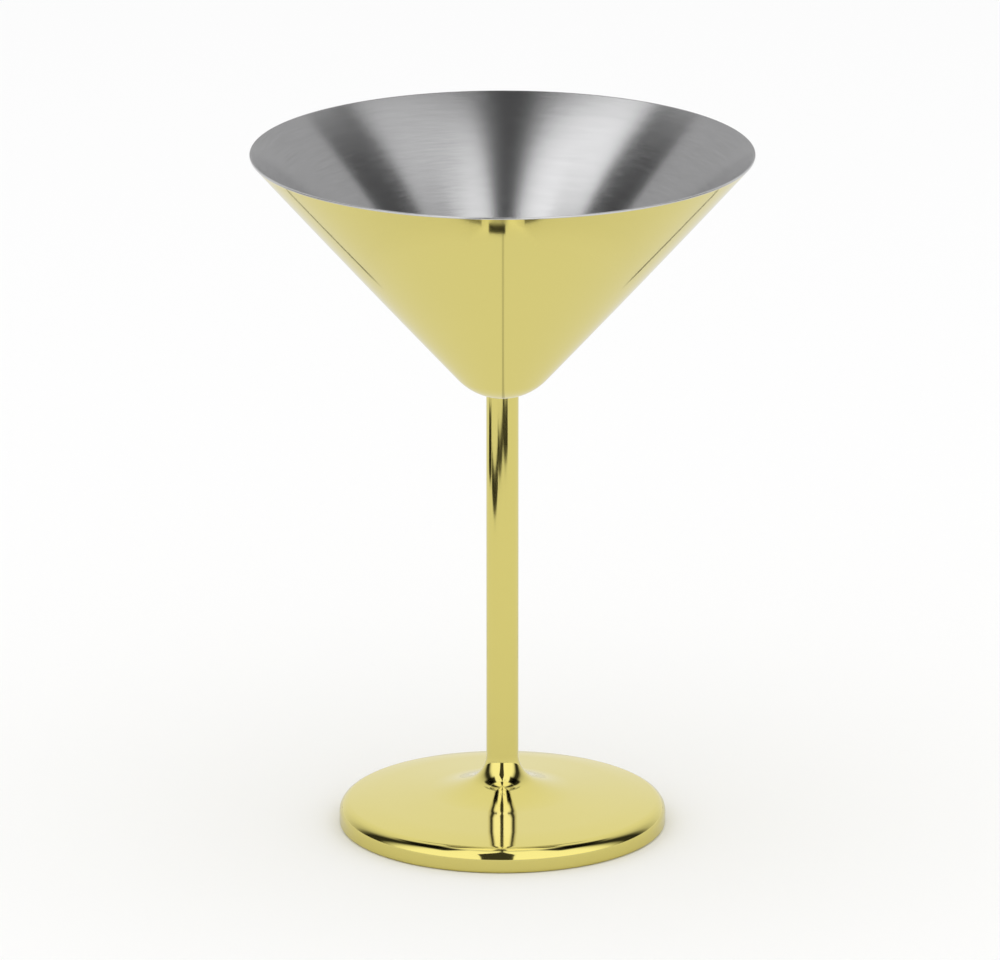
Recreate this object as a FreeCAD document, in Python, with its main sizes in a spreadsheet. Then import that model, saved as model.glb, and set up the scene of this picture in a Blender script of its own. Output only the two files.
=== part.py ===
"""Stainless steel martini glass: a conical bowl on a tubular stem and a hollow pressed foot.

The frame is +Z up, in millimetres, with the origin on the table under the middle of the foot.
Every piece is round about the Z axis:

  bowl         one sheet drawn to a cone, with a round nose, a flat seat below and a trimmed lip
  bowl_stud    the plug welded under the seat, which the top of the stem slides over
  stem_tube    the straight tube between the seat of the bowl and the neck of the foot
  foot_spigot  the plug that lines the tube up with the neck, across their butt joint
  foot_shell   one pressing: a drawn neck, its flare, a sloping top, a round edge and a hem
  base_plate   the disc that closes the hollow foot from below, lying on the hem

The rounds that show are true rounds. Inside the closed foot a bevel stands for each of them, and
the fold of the hem and the deburred corners of the lip are bevels too.
"""

import FreeCAD, Part
import enum
import math
import os

import Sketcher

Vector = FreeCAD.Vector

# Driving dimensions in mm, and one share: alias, value, what it measures.
SIZES = (
    ("glass_height", 160.0, "table to the top of the lip"),
    ("rim_diameter", 115.0, "over the outside of the lip"),
    ("bowl_height", 57.0, "seat of the bowl to the top of the lip"),
    ("bowl_sheet", 0.8, "wall of the bowl"),
    ("lip_bevel", 0.15, "deburred corners of the lip"),
    ("nose_radius", 14.1, "outside radius of the round nose of the bowl"),
    ("seat_margin", 0.25, "flat of the seat that shows round the tube"),
    ("stem_diameter", 7.4, "outside of the tube and of the neck of the foot"),
    ("stem_wall", 0.7, "wall of the tube"),
    ("neck_height", 20.0, "table to the end of the neck, where the tube begins"),
    ("flare_height", 16.7, "table to where the neck begins to flare"),
    ("flare_radius", 7.2, "outside hollow from the neck to the top of the foot"),
    ("dish_radius", 30.0, "shallow hollow from the flare to the straight slope"),
    ("slope_height", 8.95, "table to where the straight slope would meet the neck"),
    ("edge_height", 6.0, "table to where the straight slope would meet the side"),
    ("crown_radius", 70.0, "shallow bulge from the straight slope to the round of the edge"),
    ("shoulder_height", 2.85, "table to the centre of the round of the edge"),
    ("foot_diameter", 75.4, "over the side of the foot"),
    ("foot_sheet", 0.7, "wall of the foot"),
    ("edge_radius", 3.05, "outside round from the top of the foot to its side"),
    ("edge_bevel", 1.05, "bevel inside the foot, behind the round of its edge"),
    ("flare_bevel", 2.8, "bevel inside the foot, behind its flare"),
    ("hem_bevel", 0.8, "outside fold from the side of the foot to the hem"),
    ("hem_width", 4.2, "side of the foot to the inner edge of the hem"),
    ("plate_sheet", 0.6, "thickness of the base plate"),
    ("plate_play", 0.5, "gap from the base plate to the side wall of the foot"),
    ("plug_play", 0.05, "gap round a plug in its bore"),
    ("stud_length", 8.0, "length of the plug under the bowl"),
    ("spigot_above", 8.0, "length of the foot's plug inside the tube"),
    ("spigot_below", 5.0, "length of the foot's plug inside the neck and below it"),
)
PARTS_FOLDER = "parts"
NEAR = 1e-3  # points that lie closer than this are one
UPRIGHT = Vector(0, 0, 1)
RIGHT, UP, LEFT, DOWN = (quarter * math.pi / 2 for quarter in range(4))


class Of(enum.IntEnum):
    """Sketcher's numbers for the points of an edge and for the axes of a sketch."""

    START = 1
    END = 2
    CENTRE = 3
    LEVEL_AXIS = -1
    UPRIGHT_AXIS = -2


START, END, CENTRE = Of.START, Of.END, Of.CENTRE
ORIGIN = (Of.LEVEL_AXIS, START)


def make_sheet(doc):
    """Writes the driving dimensions into a spreadsheet and returns their values by alias."""
    sheet = doc.addObject("Spreadsheet::Sheet", "Sizes")
    for row, (alias, value, meaning) in enumerate(SIZES, start=1):
        sheet.set(f"A{row}", alias)
        sheet.set(f"B{row}", str(value))
        sheet.set(f"C{row}", meaning)
        sheet.setAlias(f"B{row}", alias)
    doc.recompute()
    return {alias: float(sheet.get(alias)) for alias, _value, _meaning in SIZES}


def make_body(doc, label, height=None):
    """A body with this label, raised above the table by an expression of the sheet."""
    body = doc.addObject("PartDesign::Body", label)
    body.Label = label
    if height:
        body.setExpression("Placement.Base.z", height)
    return body


class Outline:
    """A sketch on an origin plane of a body, drawn edge by edge and bound to the sheet."""

    def __init__(self, body, name, plane):
        self.sketch = body.newObject("Sketcher::SketchObject", name)
        planes = {feature.Role: feature for feature in body.Origin.OriginFeatures}
        self.sketch.AttachmentSupport = (planes[plane], [""])
        self.sketch.MapMode = "FlatFace"

    def line(self, start, end):
        """A straight edge between two points, given as (across, up)."""
        edge = Part.LineSegment(Vector(*start, 0), Vector(*end, 0))
        return self.sketch.addGeometry(edge, False)

    def arc(self, centre, radius, start, end):
        """A round edge that runs anticlockwise from one angle to the other."""
        circle = Part.Circle(Vector(*centre, 0), UPRIGHT, radius)
        return self.sketch.addGeometry(Part.ArcOfCircle(circle, start, end), False)

    def circle(self, radius, expression):
        """A whole circle about the origin of the sketch."""
        edge = self.sketch.addGeometry(Part.Circle(Vector(), UPRIGHT, radius), False)
        self.fix("Coincident", edge, CENTRE, *ORIGIN)
        self.size("Radius", edge, expression=expression)

    def fix(self, kind, *points):
        """A constraint without a size, such as Coincident, Tangent or Vertical."""
        self.sketch.addConstraint(Sketcher.Constraint(kind, *points))

    def size(self, kind, *points, expression):
        """A constraint whose size is an expression of the sheet."""
        present = float(self.sketch.evalExpression(expression))
        number = self.sketch.addConstraint(Sketcher.Constraint(kind, *points, present))
        self.sketch.setExpression(f"Constraints[{number}]", expression)

    def corner(self, edge, point):
        """Where a point of an edge lies, as (across, up)."""
        place = self.sketch.getPoint(edge, point)
        return place.x, place.y

    def place(self, edge, point, across=None, up=None):
        """Sizes from the origin of the sketch to a point of an edge."""
        if across:
            self.size("DistanceX", *ORIGIN, edge, point, expression=across)
        if up:
            self.size("DistanceY", *ORIGIN, edge, point, expression=up)


def revolve(body, outline):
    """Turns an outline once round the upright axis of its sketch."""
    turned = body.newObject("PartDesign::Revolution", f"{body.Name}_turned")
    turned.Profile = outline.sketch
    turned.ReferenceAxis = (outline.sketch, ["V_Axis"])
    turned.Angle = 360.0
    body.Tip = turned
    return turned


def pad(body, outline, length):
    """Raises an outline from its plane by an expression of the sheet."""
    raised = body.newObject("PartDesign::Pad", f"{body.Name}_raised")
    raised.Profile = outline.sketch
    raised.setExpression("Length", length)
    body.Tip = raised
    return raised


def bevel(body, rings, size):
    """Chamfers the round edges of a body that pass through these points, each (radius, height)."""
    body.Document.recompute()
    base = body.Tip
    edges = []
    for number, edge in enumerate(base.Shape.Edges, start=1):
        start = edge.Vertexes[0].Point
        ring = (math.hypot(start.x, start.y), start.z)
        if edge.isClosed() and any(math.dist(ring, place) < NEAR for place in rings):
            edges.append(f"Edge{number}")
    if len(edges) != len(rings):
        raise RuntimeError(f"{body.Label}: {len(rings)} bevels asked for, {len(edges)} edges found")
    cut = body.newObject("PartDesign::Chamfer", f"{base.Name}_bevel")
    cut.Base = (base, edges)
    cut.setExpression("Size", size)
    body.Tip = cut


def make_bowl(doc, sizes):
    """The conical bowl, drawn up from its seat: a cone that runs into a round nose."""
    body = make_body(doc, "bowl", "Sizes.glass_height - Sizes.bowl_height")
    sheet, nose = sizes["bowl_sheet"], sizes["nose_radius"]
    seat = sizes["stem_diameter"] / 2 + sizes["seat_margin"]
    centre = math.sqrt(nose**2 - seat**2)
    lip = (sizes["rim_diameter"] / 2, sizes["bowl_height"])
    reach = math.hypot(lip[0], lip[1] - centre)
    lean = math.atan2(lip[0], lip[1] - centre) - math.asin(nose / reach)
    lip_width = sheet / math.cos(lean)
    inner_seat = math.sqrt((nose - sheet) ** 2 - (centre - sheet) ** 2)

    def touch(radius):
        """The point where the cone runs into a round of this radius about the nose's centre."""
        return (radius * math.cos(lean), centre - radius * math.sin(lean))

    outline = Outline(body, "bowl_outline", "XZ_Plane")
    seat_face = outline.line((0, 0), (seat, 0))
    nose_outside = outline.arc((0, centre), nose, math.atan2(-centre, seat), -lean)
    wall_outside = outline.line(touch(nose), lip)
    lip_face = outline.line(lip, (lip[0] - lip_width, lip[1]))
    wall_inside = outline.line((lip[0] - lip_width, lip[1]), touch(nose - sheet))
    nose_inside = outline.arc(
        (0, centre), nose - sheet, math.atan2(sheet - centre, inner_seat), -lean
    )
    floor = outline.line((inner_seat, sheet), (0, sheet))
    middle = outline.line((0, sheet), (0, 0))

    outline.fix("Coincident", seat_face, START, *ORIGIN)
    outline.fix("Horizontal", seat_face)
    outline.fix("Coincident", seat_face, END, nose_outside, START)
    outline.fix("PointOnObject", nose_outside, CENTRE, Of.UPRIGHT_AXIS)
    outline.fix("Tangent", nose_outside, END, wall_outside, START)
    outline.fix("Coincident", wall_outside, END, lip_face, START)
    outline.fix("Horizontal", lip_face)
    outline.fix("Coincident", lip_face, END, wall_inside, START)
    outline.fix("Parallel", wall_outside, wall_inside)
    outline.fix("Tangent", wall_inside, END, nose_inside, END)
    outline.fix("Coincident", nose_inside, CENTRE, nose_outside, CENTRE)
    outline.fix("Coincident", nose_inside, START, floor, START)
    outline.fix("Horizontal", floor)
    outline.fix("Coincident", floor, END, middle, START)
    outline.fix("PointOnObject", floor, END, Of.UPRIGHT_AXIS)
    outline.fix("Coincident", middle, END, *ORIGIN)
    outline.place(seat_face, END, across="Sizes.stem_diameter / 2 + Sizes.seat_margin")
    outline.place(floor, END, up="Sizes.bowl_sheet")
    outline.place(lip_face, START, across="Sizes.rim_diameter / 2", up="Sizes.bowl_height")
    outline.size("Radius", nose_outside, expression="Sizes.nose_radius")
    outline.size("Radius", nose_inside, expression="Sizes.nose_radius - Sizes.bowl_sheet")
    revolve(body, outline)
    lip_corners = (outline.corner(lip_face, START), outline.corner(lip_face, END))
    bevel(body, lip_corners, "Sizes.lip_bevel")
    return body


def make_foot_shell(doc, sizes):
    """The hollow foot, one pressing of even thickness from the end of its neck to its hem.

    Its top runs from the flare through a shallow dish, a straight slope and a crown to the round of the edge.
    """
    body = make_body(doc, "foot_shell")
    sheet, neck_top = sizes["foot_sheet"], sizes["neck_height"]
    neck, side = sizes["stem_diameter"] / 2, sizes["foot_diameter"] / 2
    flare, dish = sizes["flare_radius"], sizes["dish_radius"]
    edge, crown = sizes["edge_radius"], sizes["crown_radius"]
    hem_end = side - sizes["hem_width"]
    slope = math.atan2(sizes["slope_height"] - sizes["edge_height"], side - neck)
    flare_at = (neck + flare, sizes["flare_height"])
    edge_at = (side - edge, sizes["shoulder_height"])

    def from_slope(along, above):
        """The point at this distance along the sloping line, from over the neck, and above it."""
        across = neck + along * math.cos(slope) + above * math.sin(slope)
        return (across, sizes["slope_height"] - along * math.sin(slope) + above * math.cos(slope))

    def to_slope(point):
        """Distance of a point along the sloping line and above it."""
        across, up = point[0] - neck, point[1] - sizes["slope_height"]
        along = across * math.cos(slope) - up * math.sin(slope)
        return (along, across * math.sin(slope) + up * math.cos(slope))

    flare_along, flare_above = to_slope(flare_at)
    edge_along, edge_above = to_slope(edge_at)
    dish_along = flare_along + math.sqrt((dish - flare) ** 2 - (dish - flare_above) ** 2)
    crown_along = edge_along - math.sqrt((crown - edge) ** 2 - (crown + edge_above) ** 2)
    dish_at, crown_at = from_slope(dish_along, dish), from_slope(crown_along, -crown)
    steepest = math.atan2(dish_at[0] - flare_at[0], dish_at[1] - flare_at[1])
    edge_slope = math.atan2(edge_at[0] - crown_at[0], edge_at[1] - crown_at[1])

    outline = Outline(body, "foot_outline", "XZ_Plane")
    neck_outside = outline.line((neck, neck_top), (neck, flare_at[1]))
    hollow = outline.arc(flare_at, flare, LEFT, DOWN - steepest)
    dished = outline.arc(dish_at, dish, DOWN - steepest, DOWN - slope)
    top = outline.line(from_slope(dish_along, 0), from_slope(crown_along, 0))
    crowned = outline.arc(crown_at, crown, UP - edge_slope, UP - slope)
    shoulder = outline.arc(edge_at, edge, RIGHT, UP - edge_slope)
    wall = outline.line((side, edge_at[1]), (side, 0))
    inside, under_crown = side - sheet, crown - sheet
    wall_top = crown_at[1] + math.sqrt(under_crown**2 - (inside - crown_at[0]) ** 2)
    corners = ((side, 0), (hem_end, 0), (hem_end, sheet), (inside, sheet), (inside, wall_top))
    hem, hem_lip, shelf, wall_inside = (outline.line(start, end) for start, end in zip(corners, corners[1:]))
    meeting = math.atan2(wall_top - crown_at[1], inside - crown_at[0])
    crown_inside = outline.arc(crown_at, under_crown, meeting, UP - slope)
    top_inside = outline.line(from_slope(crown_along, -sheet), from_slope(dish_along, -sheet))
    dish_inside = outline.arc(dish_at, dish + sheet, DOWN - steepest, DOWN - slope)
    flare_end = outline.corner(dish_inside, START)
    under_neck = (neck - sheet, flare_end[1] + (flare_end[0] - neck + sheet) * math.tan(steepest))
    flare_inside = outline.line(under_neck, flare_end)
    bore = outline.line(under_neck, (neck - sheet, neck_top))
    neck_rim = outline.line((neck - sheet, neck_top), (neck, neck_top))

    smooth = (
        (neck_outside, END, hollow, START),
        (hollow, END, dished, START),
        (dished, END, top, START),
        (top, END, crowned, END),
        (crowned, START, shoulder, END),
        (shoulder, START, wall, START),
        (crown_inside, END, top_inside, START),
        (top_inside, END, dish_inside, END),
        (dish_inside, START, flare_inside, END),
    )
    for joint in smooth:
        outline.fix("Tangent", *joint)
    straights = (wall, hem, hem_lip, shelf, wall_inside)
    for before, after in zip(straights, straights[1:]):
        outline.fix("Coincident", before, END, after, START)
    outline.fix("Coincident", wall_inside, END, crown_inside, START)
    outline.fix("Coincident", flare_inside, START, bore, START)
    outline.fix("Coincident", bore, END, neck_rim, START)
    outline.fix("Coincident", neck_rim, END, neck_outside, START)
    for inner, outer in ((crown_inside, crowned), (dish_inside, dished)):
        outline.fix("Coincident", inner, CENTRE, outer, CENTRE)
    for level in (hem, shelf, neck_rim):
        outline.fix("Horizontal", level)
    for upright in (neck_outside, wall, hem_lip, wall_inside, bore):
        outline.fix("Vertical", upright)
    outline.fix("Parallel", top, top_inside)
    outline.fix("PointOnObject", wall, END, Of.LEVEL_AXIS)
    outline.place(neck_outside, START, across="Sizes.stem_diameter / 2", up="Sizes.neck_height")
    outline.place(hollow, CENTRE, up="Sizes.flare_height")
    outline.place(shoulder, CENTRE, up="Sizes.shoulder_height")
    outline.place(wall, END, across="Sizes.foot_diameter / 2")
    outline.place(hem, END, across="Sizes.foot_diameter / 2 - Sizes.hem_width")
    for bend, name in ((hollow, "flare"), (dished, "dish"), (crowned, "crown"), (shoulder, "edge")):
        outline.size("Radius", bend, expression=f"Sizes.{name}_radius")
    for inner, outer in ((shelf, hem), (wall_inside, wall), (bore, neck_outside)):
        outline.size("Distance", inner, START, outer, expression="Sizes.foot_sheet")
    outline.size("Distance", top_inside, START, top, expression="Sizes.foot_sheet")
    through_sheet = outline.line(dish_at, flare_end)
    outline.sketch.setConstruction(through_sheet, True)
    outline.fix("Coincident", through_sheet, START, dished, CENTRE)
    outline.fix("Coincident", through_sheet, END, dish_inside, START)
    outline.fix("PointOnObject", hollow, END, through_sheet)
    crossings = ((neck, sizes["slope_height"]), (side, sizes["edge_height"]))
    sloping = outline.line(*crossings)
    outline.sketch.setConstruction(sloping, True)
    outline.fix("Tangent", sloping, top)
    outline.fix("PointOnObject", sloping, START, neck_outside)
    outline.fix("PointOnObject", sloping, END, wall)
    outline.place(sloping, START, up="Sizes.slope_height")
    outline.place(sloping, END, up="Sizes.edge_height")
    revolve(body, outline)
    bevel(body, (outline.corner(wall, END),), "Sizes.hem_bevel")
    bevel(body, (outline.corner(wall_inside, END),), "Sizes.edge_bevel")
    bevel(body, (outline.corner(bore, START),), "Sizes.flare_bevel")
    return body


def make_stem_tube(doc, sizes):
    """The straight tube, standing on the neck of the foot and carrying the bowl."""
    body = make_body(doc, "stem_tube", "Sizes.neck_height")
    outside = sizes["stem_diameter"] / 2
    outline = Outline(body, "tube_outline", "XY_Plane")
    outline.circle(outside, "Sizes.stem_diameter / 2")
    outline.circle(outside - sizes["stem_wall"], "Sizes.stem_diameter / 2 - Sizes.stem_wall")
    pad(body, outline, "Sizes.glass_height - Sizes.bowl_height - Sizes.neck_height")
    return body


def make_bowl_stud(doc, sizes):
    """The plug welded under the bowl: it fills the top of the tube and touches the seat."""
    seat = "Sizes.glass_height - Sizes.bowl_height"
    body = make_body(doc, "bowl_stud", f"{seat} - Sizes.stud_length")
    radius = sizes["stem_diameter"] / 2 - sizes["stem_wall"] - sizes["plug_play"]
    outline = Outline(body, "stud_outline", "XY_Plane")
    outline.circle(radius, "Sizes.stem_diameter / 2 - Sizes.stem_wall - Sizes.plug_play")
    pad(body, outline, "Sizes.stud_length")
    return body


def make_foot_spigot(doc, sizes):
    """The plug across the joint of tube and neck, in the narrower of their two bores."""
    body = make_body(doc, "foot_spigot", "Sizes.neck_height - Sizes.spigot_below")
    wall = max(sizes["stem_wall"], sizes["foot_sheet"])
    radius = sizes["stem_diameter"] / 2 - wall - sizes["plug_play"]
    thickest = "max(Sizes.stem_wall; Sizes.foot_sheet)"
    outline = Outline(body, "spigot_outline", "XY_Plane")
    outline.circle(radius, f"Sizes.stem_diameter / 2 - {thickest} - Sizes.plug_play")
    pad(body, outline, "Sizes.spigot_below + Sizes.spigot_above")
    return body


def make_base_plate(doc, sizes):
    """The disc that closes the foot: it lies on the hem, inside the round above the hem."""
    body = make_body(doc, "base_plate", "Sizes.foot_sheet")
    radius = sizes["foot_diameter"] / 2 - sizes["foot_sheet"] - sizes["plate_play"]
    outline = Outline(body, "plate_outline", "XY_Plane")
    outline.circle(radius, "Sizes.foot_diameter / 2 - Sizes.foot_sheet - Sizes.plate_play")
    pad(body, outline, "Sizes.plate_sheet")
    return body


def check(doc, bodies):
    """Stops the build where an object failed, a sketch is loose or a shape isn't a solid."""
    for item in doc.Objects:
        if {"Invalid", "Error"} & set(item.State):
            raise RuntimeError(f"{item.Name} failed: {item.State}")
        if item.isDerivedFrom("Sketcher::SketchObject") and not item.FullyConstrained:
            raise RuntimeError(f"{item.Name} isn't fully constrained")
    for body in bodies:
        shape = body.Shape
        if shape.isNull():
            raise RuntimeError(f"{body.Label} has no shape")
        if not shape.isValid():
            raise RuntimeError(f"{body.Label} isn't valid")
        if len(shape.Solids) != 1:
            raise RuntimeError(f"{body.Label} has {len(shape.Solids)} solids: {shape.ShapeType}")


def main():
    """Builds the glass, checks it and writes each piece to a file named for its label."""
    doc = FreeCAD.newDocument("martini_glass")
    sizes = make_sheet(doc)
    makers = (
        make_bowl,
        make_bowl_stud,
        make_stem_tube,
        make_foot_spigot,
        make_foot_shell,
        make_base_plate,
    )
    bodies = [make(doc, sizes) for make in makers]
    doc.recompute()
    check(doc, bodies)
    os.makedirs(PARTS_FOLDER, exist_ok=True)
    for body in bodies:
        body.Shape.exportStep(os.path.join(PARTS_FOLDER, f"{body.Label}.step"))
        box = body.Shape.optimalBoundingBox()
        print(
            f"{body.Label}: {box.XLength:.2f} x {box.YLength:.2f} x {box.ZLength:.2f} mm, "
            f"from z {box.ZMin:.2f}, volume {body.Shape.Volume:.1f} mm3"
        )


main()
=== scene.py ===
"""Martini glass of stainless steel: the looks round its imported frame.

A conical bowl, mirror polished in a pale gold tone outside and brushed bare steel inside, stands on a slim
tube and a hollow pressed foot.  Each visible piece is turned: one closed outline in millimetres, swept round
the upright axis with exact surface normals, so the polished metal reflects cleanly.  The two plugs hidden in
the tube keep their own meshes.

Lengths of the glass are in millimetres up to its meshes, and those of the studio are in metres.  The glass
stands upright on the floor, with its axis on Z and the viewer on the -Y side.
"""

from __future__ import annotations

import logging
import math
from abc import ABC, abstractmethod
from collections.abc import Sequence
from dataclasses import dataclass, field
from enum import Enum
from typing import Any

import bpy
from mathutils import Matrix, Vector

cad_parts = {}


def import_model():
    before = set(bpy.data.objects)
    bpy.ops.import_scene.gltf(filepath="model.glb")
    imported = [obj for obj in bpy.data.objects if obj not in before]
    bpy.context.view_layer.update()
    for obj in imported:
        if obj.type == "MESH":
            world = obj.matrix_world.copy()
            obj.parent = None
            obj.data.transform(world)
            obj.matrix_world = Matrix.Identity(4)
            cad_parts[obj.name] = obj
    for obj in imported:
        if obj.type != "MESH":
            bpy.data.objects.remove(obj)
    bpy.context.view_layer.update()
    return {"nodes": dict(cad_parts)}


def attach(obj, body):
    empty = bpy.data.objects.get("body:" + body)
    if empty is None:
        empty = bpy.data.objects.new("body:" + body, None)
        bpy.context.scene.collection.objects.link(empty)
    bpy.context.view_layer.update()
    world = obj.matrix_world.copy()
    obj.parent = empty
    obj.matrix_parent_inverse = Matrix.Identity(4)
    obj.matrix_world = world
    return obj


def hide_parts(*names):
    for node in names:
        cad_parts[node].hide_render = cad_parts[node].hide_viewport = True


MM = 0.001
WHITE = (1.0, 1.0, 1.0, 1.0)
CLOTH_SCALE = 400.0
log = logging.getLogger("martini_glass")

Point = tuple[float, float]


class CadNode(Enum):
    """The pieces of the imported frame."""

    BOWL = "bowl"
    BOWL_STUD = "bowl_stud"
    STEM_TUBE = "stem_tube"
    FOOT_SPIGOT = "foot_spigot"
    FOOT_SHELL = "foot_shell"
    BASE_PLATE = "base_plate"


class Slot(Enum):
    """The record's material slots."""

    GOLD = "gold_steel"
    BRUSHED = "brushed_steel"
    PLAIN = "plain_steel"


class Skin(Enum):
    """The side of a sheet that a span of an outline belongs to, which is its material's place on the mesh."""

    OUTER = 0
    INNER = 1


class Seen(Enum):
    """The rays that meet a piece of the studio."""

    BY_ALL = "all"
    IN_REFLECTIONS = "reflections"


def linear(code: str) -> tuple[float, float, float, float]:
    """Turns an sRGB hex code into a linear colour.

    Args:
        code: The colour as "#RRGGBB".

    Returns:
        Linear red, green, blue and an alpha of 1.
    """
    shares = [int(code[i : i + 2], 16) / 255 for i in (1, 3, 5)]
    return (*(s / 12.92 if s <= 0.04045 else ((s + 0.055) / 1.055) ** 2.4 for s in shares), 1.0)


# ---------------------------------------------------------------- shader graphs


@dataclass
class Graph:
    """A shader node tree that is filled node by node."""

    tree: bpy.types.NodeTree

    def add(self, kind: str, inputs: dict[Any, Any] | None = None, **settings: Any) -> bpy.types.Node:
        """Adds a node, sets it up and links it.

        Args:
            kind: The node's type name, without its "ShaderNode" beginning.
            inputs: Value or output socket for each input, by its name or number.
            **settings: The node's own properties.

        Returns:
            The new node.
        """
        node = self.tree.nodes.new("ShaderNode" + kind)
        for name, value in settings.items():
            setattr(node, name, value)
        for name, value in (inputs or {}).items():
            if isinstance(value, bpy.types.NodeSocket):
                self.tree.links.new(value, node.inputs[name])
            else:
                node.inputs[name].default_value = value
        return node

    def math(self, operation: str, *values: Any, clamp: bool = False) -> bpy.types.NodeSocket:
        """Adds a sum on up to three values.

        Args:
            operation: The Math node's operation.
            *values: Numbers or sockets, in order.
            clamp: Whether the result is kept between 0 and 1.

        Returns:
            The result.
        """
        node = self.add("Math", dict(enumerate(values)), operation=operation, use_clamp=clamp)
        return node.outputs[0]

    def between(
        self, value: Any, low: float, high: float, out_low: float, out_high: float
    ) -> bpy.types.NodeSocket:
        """Maps a value smoothly from one range to another and holds it at both ends.

        Args:
            value: The socket that is mapped.
            low: Value where the result is out_low.
            high: Value where the result is out_high.
            out_low: Result at and below low.
            out_high: Result at and above high.

        Returns:
            The mapped value.
        """
        inputs = {"Value": value, "From Min": low, "From Max": high, "To Min": out_low, "To Max": out_high}
        return self.add("MapRange", inputs, interpolation_type="SMOOTHSTEP").outputs[0]

    def table(self, value: Any, span: Point, rows: Sequence[Point]) -> bpy.types.NodeSocket:
        """Looks a value up in a short table, straight between its rows.

        Args:
            value: The socket that is looked up.
            span: Lowest and highest value that the table covers.
            rows: (value, result) pairs in order, with results from 0 to 1.

        Returns:
            The result.
        """
        low, high = span
        share = self.math("DIVIDE", self.math("SUBTRACT", value, low), high - low, clamp=True)
        node = self.add("ValToRGB", {"Fac": share})
        elements = node.color_ramp.elements
        while len(elements) < len(rows):
            elements.new(1.0)
        for element, (at, result) in zip(elements, rows):
            element.position = (at - low) / (high - low)
            element.color = (result, result, result, 1.0)
        return node.outputs["Color"]


def new_material(name: str) -> tuple[bpy.types.Material, Graph]:
    """Makes a material without nodes.

    Args:
        name: Its name.

    Returns:
        The material and its empty node tree.
    """
    made = bpy.data.materials.new(name)
    made.use_nodes = True
    made.node_tree.nodes.clear()
    return made, Graph(made.node_tree)


# ---------------------------------------------------------------- finishes


@dataclass(frozen=True)
class Finish(ABC):
    """A metal surface, from which a material is made."""

    name: str
    colour: str
    roughness: float

    @abstractmethod
    def paint(self, graph: Graph) -> dict[str, Any]:
        """Builds the finish's patterns.

        Args:
            graph: The material's nodes.

        Returns:
            The Principled shader's inputs that differ from a plain metal's.
        """

    def material(self) -> bpy.types.Material:
        """Makes the material.

        Returns:
            A node material named after the finish.
        """
        made, graph = new_material(self.name)
        inputs = {"Base Color": linear(self.colour), "Metallic": 1.0, "Roughness": self.roughness}
        inputs.update(self.paint(graph))
        shader = graph.add("BsdfPrincipled", inputs)
        graph.add("OutputMaterial", {"Surface": shader.outputs["BSDF"]})
        return made

    def turned_lines(
        self, graph: Graph, pitch: float, waviness: float, detail: float
    ) -> bpy.types.NodeSocket:
        """Makes fine lines that run round the axis, as turning, spinning and polishing leave them.

        Args:
            graph: The material's nodes.
            pitch: Distance between lines along the axis, in mm.
            waviness: How many times a line changes in strength on its way round.
            detail: Octaves of finer lines.

        Returns:
            A value round 0.5 that follows the lines.
        """
        place = graph.add("TexCoord").outputs["Object"]
        part = graph.add("SeparateXYZ", {"Vector": place})
        flat = graph.add("CombineXYZ", {"X": part.outputs["X"], "Y": part.outputs["Y"]})
        round_axis = graph.add("VectorMath", {0: flat.outputs[0]}, operation="NORMALIZE")
        slow = graph.add("VectorMath", {0: round_axis.outputs[0], "Scale": waviness}, operation="SCALE")
        height = graph.math("DIVIDE", part.outputs["Z"], pitch * MM)
        lift = graph.add("CombineXYZ", {"Z": height})
        where = graph.add("VectorMath", {0: slow.outputs[0], 1: lift.outputs[0]}, operation="ADD")
        inputs = {"Vector": where.outputs[0], "Scale": 1.0, "Detail": detail, "Roughness": 0.6}
        return graph.add("TexNoise", inputs).outputs[0]

    def patches(self, graph: Graph, size: float) -> bpy.types.NodeSocket:
        """Makes broad soft patches, as wiping leaves them.

        Args:
            graph: The material's nodes.
            size: Width of a patch, in mm.

        Returns:
            A value round 0.5.
        """
        place = graph.add("TexCoord").outputs["Object"]
        inputs = {"Vector": place, "Scale": 1 / (size * MM), "Detail": 3.0, "Roughness": 0.55}
        return graph.add("TexNoise", inputs).outputs[0]

    def tinted(self, graph: Graph, pattern: Any, spread: float) -> bpy.types.NodeSocket:
        """Lets the metal's colour follow a pattern.

        Args:
            graph: The material's nodes.
            pattern: A value round 0.5.
            spread: Share by which the pattern's 0 darkens and its 1 lightens the colour.

        Returns:
            The colour.
        """
        ends = {"To Min": 1 - spread, "To Max": 1 + spread}
        factor = graph.add("MapRange", {"Value": pattern, **ends}).outputs[0]
        tint = graph.add("VectorMath", {0: linear(self.colour)[:3], "Scale": factor}, operation="SCALE")
        return tint.outputs[0]

    def roughened(self, graph: Graph, pattern: Any, spread: float) -> bpy.types.NodeSocket:
        """Lets the metal's roughness follow a pattern.

        Args:
            graph: The material's nodes.
            pattern: A value round 0.5.
            spread: How much the pattern's 0 takes off the roughness and its 1 adds to it.

        Returns:
            The roughness.
        """
        ends = {"To Min": self.roughness - spread, "To Max": self.roughness + spread}
        return graph.add("MapRange", {"Value": pattern, **ends}).outputs[0]


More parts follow.
